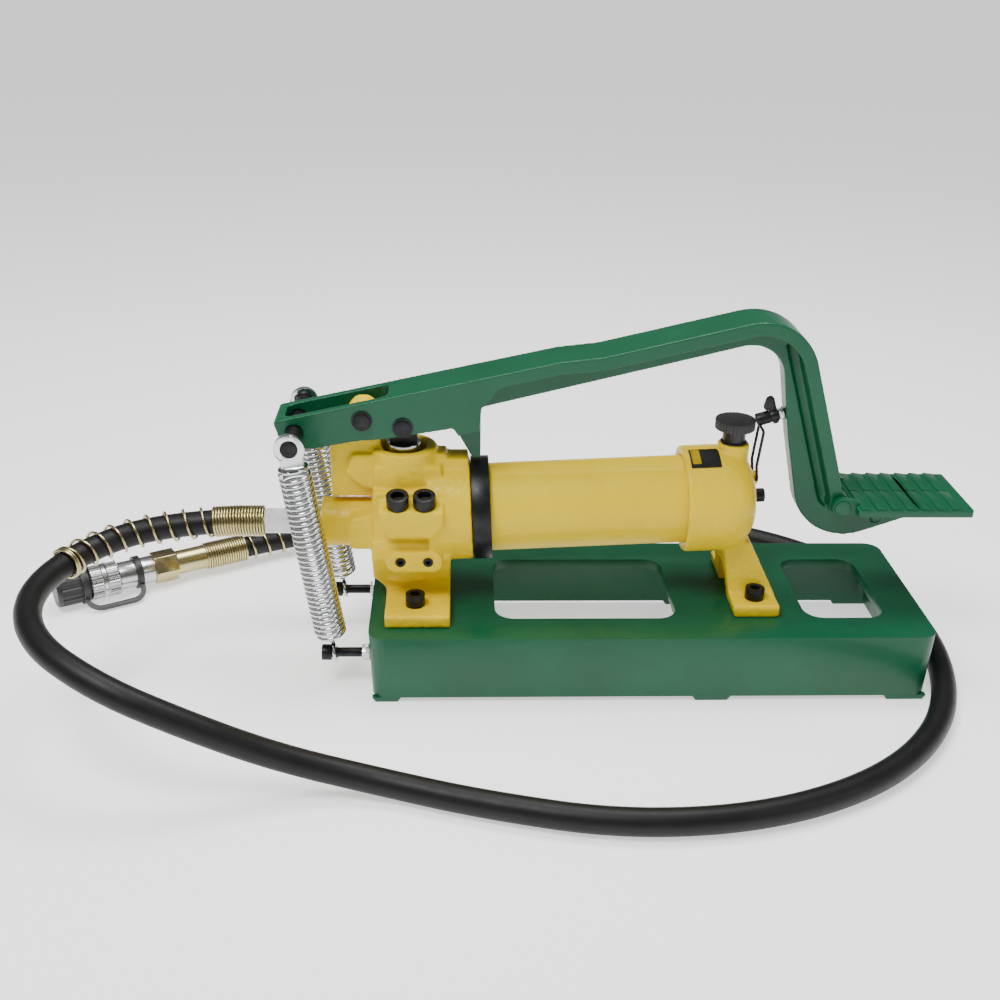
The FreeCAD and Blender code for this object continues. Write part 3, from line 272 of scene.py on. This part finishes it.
def link_piece(name, mesh, body, slot):
    piece = bpy.data.objects.new(name, mesh)
    bpy.context.collection.objects.link(piece)
    mesh.materials.clear()
    mesh.materials.append(MATERIALS[slot])
    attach(piece, body)
    return piece


def welded(node, merge_faces=True):
    """A copy of a CAD node's mesh with its split edges joined and, where asked, its flat faces merged."""
    mesh = frame["nodes"][node].data.copy()
    shape = bmesh.new()
    shape.from_mesh(mesh)
    bmesh.ops.remove_doubles(shape, verts=shape.verts, dist=0.00001)
    if merge_faces:
        flat = math.radians(0.6)
        bmesh.ops.dissolve_limit(shape, angle_limit=flat, verts=shape.verts, edges=shape.edges)
    shape.to_mesh(mesh)
    shape.free()
    for name in ("custom_normal", "sharp_face"):
        layer = mesh.attributes.get(name)
        if layer:
            mesh.attributes.remove(layer)
    return mesh


def baked(piece):
    """Applies the piece's modifiers to its own mesh."""
    bpy.context.view_layer.update()
    graph = bpy.context.evaluated_depsgraph_get()
    done = bpy.data.meshes.new_from_object(piece.evaluated_get(graph), depsgraph=graph)
    old = piece.data
    piece.modifiers.clear()
    piece.data = done
    bpy.data.meshes.remove(old)


def smooth(mesh, angle):
    mesh.polygons.foreach_set("use_smooth", [True] * len(mesh.polygons))
    mesh.set_sharp_from_angle(angle=math.radians(angle))


def beveled(node, width, segments=2):
    """Stands for a CAD node, with its edges rounded."""
    piece = link_piece(node + "_piece", welded(node), BODY_OF[node], SLOT_OF[node])
    bevel = piece.modifiers.new("bevel", "BEVEL")
    bevel.width = width
    bevel.segments = segments
    bevel.limit_method = "ANGLE"
    bevel.angle_limit = math.radians(32)
    bevel.use_clamp_overlap = True
    bevel.miter_outer = "MITER_ARC"
    baked(piece)
    smooth(piece.data, 38)
    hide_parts(node)
    return piece


def cast(node, voxel, passes, roughness):
    """Stands for a CAD casting: remeshed, its edges and inner corners softened, with a sand-cast skin."""
    piece = link_piece(node + "_piece", welded(node, False), BODY_OF[node], SLOT_OF[node])
    remesh = piece.modifiers.new("remesh", "REMESH")
    remesh.mode = "VOXEL"
    remesh.voxel_size = voxel
    soften = piece.modifiers.new("soften", "SMOOTH")
    soften.factor = 0.5
    soften.iterations = passes
    baked(piece)
    roughen(piece.data, roughness)
    piece.data.polygons.foreach_set("use_smooth", [True] * len(piece.data.polygons))
    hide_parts(node)
    return piece


def roughen(mesh, height):
    """Low waves of a sand casting, in the vertices themselves."""
    grain = 0.0045
    count = len(mesh.vertices)
    places = np.empty(count * 3)
    normals = np.empty(count * 3)
    mesh.vertices.foreach_get("co", places)
    mesh.vertex_normals.foreach_get("vector", normals)
    places = places.reshape(-1, 3)
    normals = normals.reshape(-1, 3)
    waves = np.array([noise.noise(Vector(place) / grain) for place in places])
    places += normals * (height * waves)[:, None]
    mesh.vertices.foreach_set("co", places.ravel())
    mesh.update()


def carried(node, material=None):
    """A CAD node whose shape is right: it only gets its material."""
    mesh = frame["nodes"][node].data
    mesh.materials.clear()
    mesh.materials.append(material or MATERIALS[SLOT_OF[node]])


# ---------------------------------------------------------------- curves and wire

def nurbs(name, points, radius, body, slot):
    curve = bpy.data.curves.new(name, "CURVE")
    curve.dimensions = "3D"
    curve.resolution_u = 24
    curve.bevel_depth = radius
    curve.bevel_resolution = 8
    curve.use_fill_caps = True
    spline = curve.splines.new("NURBS")
    spline.points.add(len(points) - 1)
    for point, place in zip(spline.points, points):
        point.co = (*place, 1)
    spline.order_u = 3
    spline.use_endpoint_u = True
    curve.materials.append(MATERIALS[slot])
    piece = bpy.data.objects.new(name, curve)
    bpy.context.collection.objects.link(piece)
    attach(piece, body)
    return piece


def centre_line(piece):
    """Points along a curve object's own line, in order."""
    plain = piece.copy()
    plain.data = piece.data.copy()
    plain.data.bevel_depth = 0
    bpy.context.collection.objects.link(plain)
    bpy.context.view_layer.update()
    graph = bpy.context.evaluated_depsgraph_get()
    mesh = bpy.data.meshes.new_from_object(plain.evaluated_get(graph))
    points = [vertex.co.copy() for vertex in mesh.vertices]
    bpy.data.objects.remove(plain)
    return points


class Line:
    """A polyline that can be read at any distance, with a frame that doesn't twist."""

    def __init__(self, points):
        self.points = points
        self.tangents = []
        last = len(points) - 1
        for index in range(len(points)):
            step = points[min(index + 1, last)] - points[max(index - 1, 0)]
            self.tangents.append(step.normalized())
        side = self.tangents[0].orthogonal().normalized()
        self.sides = [side]
        for tangent in self.tangents[1:]:
            side = (side - tangent * side.dot(tangent)).normalized()
            self.sides.append(side)
        self.distances = [0.0]
        for before, after in zip(points, points[1:]):
            self.distances.append(self.distances[-1] + (after - before).length)
        self.length = self.distances[-1]

    def at(self, distance):
        """Point, tangent, side and upward side at a distance; straight on past either end."""
        index = 0
        while index < len(self.points) - 2 and self.distances[index + 1] < distance:
            index += 1
        span = self.distances[index + 1] - self.distances[index]
        share = (distance - self.distances[index]) / span
        point = self.points[index].lerp(self.points[index + 1], share)
        share = min(max(share, 0), 1)
        tangent = self.tangents[index].lerp(self.tangents[index + 1], share).normalized()
        side = self.sides[index].lerp(self.sides[index + 1], share)
        side = (side - tangent * side.dot(tangent)).normalized()
        return point, tangent, side, tangent.cross(side)


def tube_mesh(name, points, radius, sides):
    """Round wire through points, closed at both ends."""
    line = Line(points)
    shape = bmesh.new()
    rings = []
    for point, tangent, side in zip(line.points, line.tangents, line.sides):
        other = tangent.cross(side)
        ring = []
        for step in range(sides):
            angle = 2 * math.pi * step / sides
            ring.append(shape.verts.new(point + radius * (math.cos(angle) * side + math.sin(angle) * other)))
        rings.append(ring)
    for first, second in zip(rings, rings[1:]):
        for step in range(sides):
            after = (step + 1) % sides
            shape.faces.new((first[step], first[after], second[after], second[step]))
    shape.faces.new(list(reversed(rings[0])))
    shape.faces.new(rings[-1])
    mesh = bpy.data.meshes.new(name)
    shape.to_mesh(mesh)
    shape.free()
    smooth(mesh, 50)
    return mesh


def helix_on(line, start, end, radius_at, pitch_at):
    """Points of a helix round a line between two distances, radius and pitch being functions of distance."""
    per_turn = 28
    points = []
    distance = start
    angle = 0.0
    while distance < end:
        point, tangent, side, other = line.at(distance)
        radius = radius_at(distance)
        points.append(point + radius * (math.cos(angle) * side + math.sin(angle) * other))
        angle += 2 * math.pi / per_turn
        distance += pitch_at(distance) / per_turn
    return points


# ---------------------------------------------------------------- hose and its guards

HOSE_DIAMETER = 0.0205
FLOOR_RISE = 0.0105
COUPLER_RISE = 0.0184
HOSE_ROUTE = [
    (-0.3205, 0, 0.1245),
    (-0.386, 0, 0.121),
    (-0.441, -0.040, 0.115),
    (-0.462, -0.104, 0.113),
    (-0.441, -0.168, 0.111),
    (-0.386, -0.207, 0.097),
    (-0.326, -0.211, 0.068),
    (-0.266, -0.200, 0.032),
    (-0.195, -0.200, FLOOR_RISE),
    (-0.120, -0.227, FLOOR_RISE),
    (-0.020, -0.251, FLOOR_RISE),
    (0.085, -0.243, FLOOR_RISE),
    (0.178, -0.203, FLOOR_RISE),
    (0.243, -0.138, FLOOR_RISE),
    (0.275, -0.058, FLOOR_RISE),
    (0.281, 0.030, FLOOR_RISE),
    (0.255, 0.116, FLOOR_RISE),
    (0.193, 0.183, FLOOR_RISE),
    (0.105, 0.228, FLOOR_RISE),
    (-0.010, 0.250, FLOOR_RISE),
    (-0.145, 0.246, FLOOR_RISE),
    (-0.272, 0.2027, COUPLER_RISE),
    (-0.378, 0.143, COUPLER_RISE),
]
HOSE_END = Vector(HOSE_ROUTE[-1])
COUPLER_AXIS = (HOSE_END - Vector(HOSE_ROUTE[-2])).normalized()
GUARD_WIRE = 0.00115
GUARD_PITCH = 0.0145
TIGHT_GAP = 0.0006
OPEN_GAP = 0.0009
OPENING_LENGTH = 0.012


def guard_piece(name, node, line, start, end, tight_length):
    """Coil of wire: close wound over the ferrule, then open along the hose, with two tight end turns."""
    tight = 2.06 * GUARD_WIRE
    rest = HOSE_DIAMETER / 2 + GUARD_WIRE
    loose = rest + OPEN_GAP

    def pitch(distance):
        along = distance - start
        if along < tight_length or end - distance < 2.2 * tight:
            return tight
        return GUARD_PITCH

    def radius(distance):
        along = distance - start
        share = min(max((along - tight_length) / OPENING_LENGTH, 0), 1)
        return rest + TIGHT_GAP + (loose - rest - TIGHT_GAP) * share

    points = helix_on(line, start, end, radius, pitch)
    piece = link_piece(name, tube_mesh(name, points, GUARD_WIRE, 8), "pump", "gold_zinc")
    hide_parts(node)
    return piece


def add_hose():
    hose = nurbs("hose_rubber_tube", HOSE_ROUTE, HOSE_DIAMETER / 2, "pump", "hose_rubber")
    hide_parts("hose")
    points = centre_line(hose)
    ferrule = [Vector((-0.297, 0, 0.1245)), Vector((-0.312, 0, 0.1245))]
    pump_line = Line(ferrule + points)
    pump_guard = guard_piece("pump_end_guard", "pump_guard", pump_line, start=0.0, end=0.172,
                             tight_length=0.042)
    coupler = [HOSE_END + COUPLER_AXIS * step for step in (0.004, 0.002)]
    coupler_line = Line(coupler + list(reversed(points)))
    coupler_guard = guard_piece("coupler_end_guard", "coupler_guard", coupler_line, start=0.0, end=0.19,
                                tight_length=0.040)
    length = Line(points).length
    return hose, length, [pump_guard, coupler_guard]


# ---------------------------------------------------------------- return springs

SPRING_TOP = Vector((-0.266, 0, 0.211))
SPRING_FOOT = Vector((-0.2379, 0, 0.030))
SPRING_SIDE = 0.054
COIL_RADIUS = 0.0115
COIL_TURNS = 33
COIL_START = 0.0194
COIL_END_GAP = 0.014
CLOSING_LENGTH = 0.006
SPRING_WIRE = 0.00165
HOOK_RADIUS = 0.0058
HOOK_STEPS = 19


def return_spring(name, node, y):
    """Close coil from the clip's seat, running in at its lower end to a hook round the anchor bolt."""
    top = SPRING_TOP + Vector((0, y, 0))
    foot = SPRING_FOOT + Vector((0, y, 0))
    down = (foot - top).normalized()
    length = (foot - top).length
    last = length - COIL_END_GAP
    pitch = (last - COIL_START) / COIL_TURNS

    def radius(distance):
        return COIL_RADIUS * min(1.0, (last + 0.0012 - distance) / CLOSING_LENGTH)

    points = helix_on(Line([top, foot]), COIL_START, last, radius, lambda distance: pitch)
    points.insert(0, points[0] - down * 0.003)
    points.append(foot - down * 0.0105)
    for step in range(HOOK_STEPS):
        angle = math.radians(20 + step * 17)
        points.append(foot + HOOK_RADIUS * (math.sin(angle) * Vector((0, 1, 0)) - math.cos(angle) * down))
    piece = link_piece(name, tube_mesh(name, points, SPRING_WIRE, 10), "pump", "chrome")
    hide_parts(node)
    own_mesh(piece)
    return piece


# ---------------------------------------------------------------- turned pieces and the label

def turned(name, node, base, axis, rows, teeth, slot):
    """Round piece from rows of (distance, radius, tooth depth) along its axis, replacing a CAD node."""
    side = axis.orthogonal().normalized()
    other = axis.cross(side)
    steps = teeth * 4
    shape = bmesh.new()
    rings = []
    for distance, radius, depth in rows:
        ring = []
        for step in range(steps):
            reach = radius - (depth if step % 4 >= 2 else 0)
            angle = 2 * math.pi * step / steps
            place = base + axis * distance + reach * (math.cos(angle) * side + math.sin(angle) * other)
            ring.append(shape.verts.new(place))
        rings.append(ring)
    for first, second in zip(rings, rings[1:]):
        for step in range(steps):
            after = (step + 1) % steps
            shape.faces.new((first[step], first[after], second[after], second[step]))
    for ring in (rings[0], rings[-1]):
        center = shape.verts.new(sum((vert.co for vert in ring), Vector()) / steps)
        for step in range(steps):
            shape.faces.new((ring[step], ring[(step + 1) % steps], center))
    bmesh.ops.recalc_face_normals(shape, faces=shape.faces)
    mesh = bpy.data.meshes.new(name)
    shape.to_mesh(mesh)
    shape.free()
    smooth(mesh, 32)
    piece = link_piece(name, mesh, BODY_OF[node], slot)
    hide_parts(node)
    return piece


def add_dust_cap():
    base = HOSE_END + COUPLER_AXIS * 0.116
    rows = [(0.0062, 0.0118, 0), (0.0, 0.0118, 0), (0.0, 0.0152, 0), (0.0008, 0.016, 0), (0.006, 0.016, 0),
            (0.0065, 0.0159, 0.0009), (0.0255, 0.0159, 0.0009), (0.026, 0.016, 0), (0.0285, 0.0158, 0),
            (0.030, 0.0143, 0)]
    return turned("dust_cap_ribbed", "dust_cap", base, COUPLER_AXIS, rows, 20, "black_plastic")


def add_collar():
    base = HOSE_END + COUPLER_AXIS * 0.0886
    bore = 0.0119
    rows = [(0.0, bore, 0), (0.0, 0.0158, 0), (0.001, 0.017, 0), (0.0015, 0.017, 0.0006),
            (0.0105, 0.017, 0.0006), (0.011, 0.017, 0), (0.012, 0.0158, 0), (0.015, 0.0158, 0),
            (0.016, 0.017, 0), (0.0165, 0.017, 0.0006), (0.0255, 0.017, 0.0006), (0.026, 0.017, 0),
            (0.027, 0.0158, 0), (0.027, bore, 0)]
    side = COUPLER_AXIS.orthogonal().normalized()
    other = COUPLER_AXIS.cross(side)
    piece = turned("collar_knurled", "coupler_collar", base, COUPLER_AXIS, rows, 40, "bright_zinc")
    return open_bore(piece, base, side, other, bore)


def open_bore(piece, base, side, other, bore):
    """Turns the two end discs of a turned piece into the wall of its bore."""
    shape = bmesh.new()
    shape.from_mesh(piece.data)
    discs = []
    for face in shape.faces:
        middle = face.calc_center_median() - base
        if math.hypot(middle.dot(side), middle.dot(other)) < bore * 0.9 and len(face.verts) == 3:
            discs.append(face)
    bmesh.ops.delete(shape, geom=discs, context="FACES")
    centers = [vert for vert in shape.verts if not vert.link_faces]
    bmesh.ops.delete(shape, geom=centers, context="VERTS")
    rims = [edge for edge in shape.edges if edge.is_boundary]
    bmesh.ops.bridge_loops(shape, edges=rims)
    bmesh.ops.recalc_face_normals(shape, faces=shape.faces)
    shape.to_mesh(piece.data)
    shape.free()
    smooth(piece.data, 32)
    return piece


TANK_TILT = math.radians(2.7)
TANK_CENTER = Vector((-0.102, 0, 0.138))
CAP_RADIUS = 0.0443
EDGE_WIDTHS = {
    "anchor_bolts": 0.0006,
    "anchor_nuts": 0.0005,
    "body_foot_bolts": 0.0007,
    "cap_foot_bolts": 0.0007,
    "valve_plugs": 0.0008,
    "relief_screws": 0.0004,
    "tie_bolt": 0.0005,
    "plunger": 0.0008,
    "plunger_head": 0.0006,
    "fulcrum_pin": 0.0006,
    "plunger_pin": 0.0006,
    "spring_cross_pin": 0.0006,
    "reservoir_ring": 0.0006,
    "latch_bolt": 0.0004,
    "latch_nut": 0.0004,
    "latch_wing": 0.0008,
    "pedal": 0.0007,
    "pedal_pin": 0.0005,
    "pedal_stop_pin": 0.0004,
    "front_spring_clip": 0.0009,
    "rear_spring_clip": 0.0009,
    "vent_cap": 0.0004,
    "release_knob": 0.0004,
}
CORD_EDGES = {"swivel_nut": 0.0009, "coupler_body": 0.0006, "dust_strap": 0.0009}


def add_label(name, low, high, turn_low, turn_high, lift, slot):
    """Plain patch on the rear cap between two stations and two angles forward of straight up."""
    shape = bmesh.new()
    steps = 12
    rows = []
    for along in (low, high):
        row = []
        for step in range(steps + 1):
            angle = math.radians(turn_low + (turn_high - turn_low) * step / steps)
            reach = CAP_RADIUS + lift
            place = Vector((along, -reach * math.sin(angle), reach * math.cos(angle)))
            place.rotate(Matrix.Rotation(-TANK_TILT, 3, "Y"))
            row.append(shape.verts.new(place + TANK_CENTER))
        rows.append(row)
    for step in range(steps):
        shape.faces.new((rows[0][step], rows[0][step + 1], rows[1][step + 1], rows[1][step]))
    bmesh.ops.solidify(shape, geom=shape.faces, thickness=0.0001)
    mesh = bpy.data.meshes.new(name)
    shape.to_mesh(mesh)
    shape.free()
    return link_piece(name, mesh, "pump", slot)


# ---------------------------------------------------------------- the build

add_camera()
add_lights()
add_floor()
hose, hose_length, guards = add_hose()

for node in ("pump_body", "rear_cap"):
    cast(node, 0.0011, 12, 0.0003)
cast("foot_lever", 0.0010, 4, 0.00008)
beveled("base_tray", 0.0022, 3)
return_spring("front_coil", "front_return_spring", -SPRING_SIDE)
rear_coil = return_spring("rear_coil", "rear_return_spring", SPRING_SIDE)
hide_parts("spring_hooks")
for node, width in EDGE_WIDTHS.items():
    beveled(node, width)
add_label("label_black", 0.1555, 0.180, 3, 33, 0.0004, "black_plastic")
add_label("label_yellow", 0.157, 0.164, 5, 28, 0.0006, "yellow_paint")
for node in sorted(frame["nodes"]):
    if not frame["nodes"][node].hide_render:
        carried(node)
carried("reservoir_tube", SMOOTH_YELLOW)

coupler_pieces = [add_dust_cap(), add_collar()]
coupler_pieces += [beveled(node, width) for node, width in CORD_EDGES.items()]
